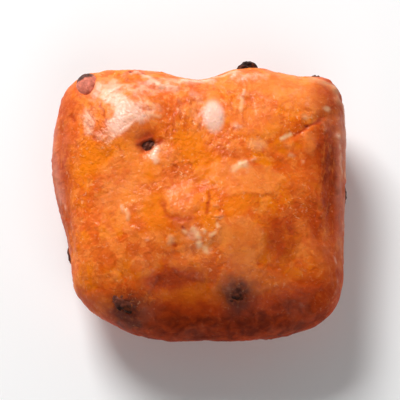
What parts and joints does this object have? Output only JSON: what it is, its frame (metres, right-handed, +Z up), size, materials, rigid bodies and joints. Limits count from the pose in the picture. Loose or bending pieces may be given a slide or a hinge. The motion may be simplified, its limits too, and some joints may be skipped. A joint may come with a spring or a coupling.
{
  "type": "raisin doughnut",
  "caption": "Square pillow-shaped doughnut of fried yeast dough with a clear sugar glaze and raisins set in its skin, lying on its flat underside.",
  "frame": {"origin": "on the plane of the flat underside, under the middle of the bounding box", "axes": "+Z up out of the glazed face that shows, +X to the doughnut's right, +Y to its far edge"},
  "size_m": [0.0908, 0.0876, 0.0384],
  "materials": {
    "crust": "orange-brown fried crust under a glossy sugar glaze",
    "glaze": "whitish set sugar glaze where it lies thick",
    "raisin": "wrinkled dark brown skin, slightly glossy"
  },
  "bodies": {
    "root": {"dough": "crust", "raisin_face": "raisin", "raisin_far_left": "raisin", "raisin_far_rim": "raisin", "raisin_far_right": "raisin", "raisin_near_left": "raisin", "raisin_near_right": "raisin", "raisin_left_high": "raisin", "raisin_left_low": "raisin", "raisin_right_high": "raisin", "raisin_right_low": "raisin", "raisin_far_low": "raisin", "raisin_near_low": "raisin", "raisin_under_left": "raisin", "raisin_under_right": "raisin"}
  },
  "joints": []
}
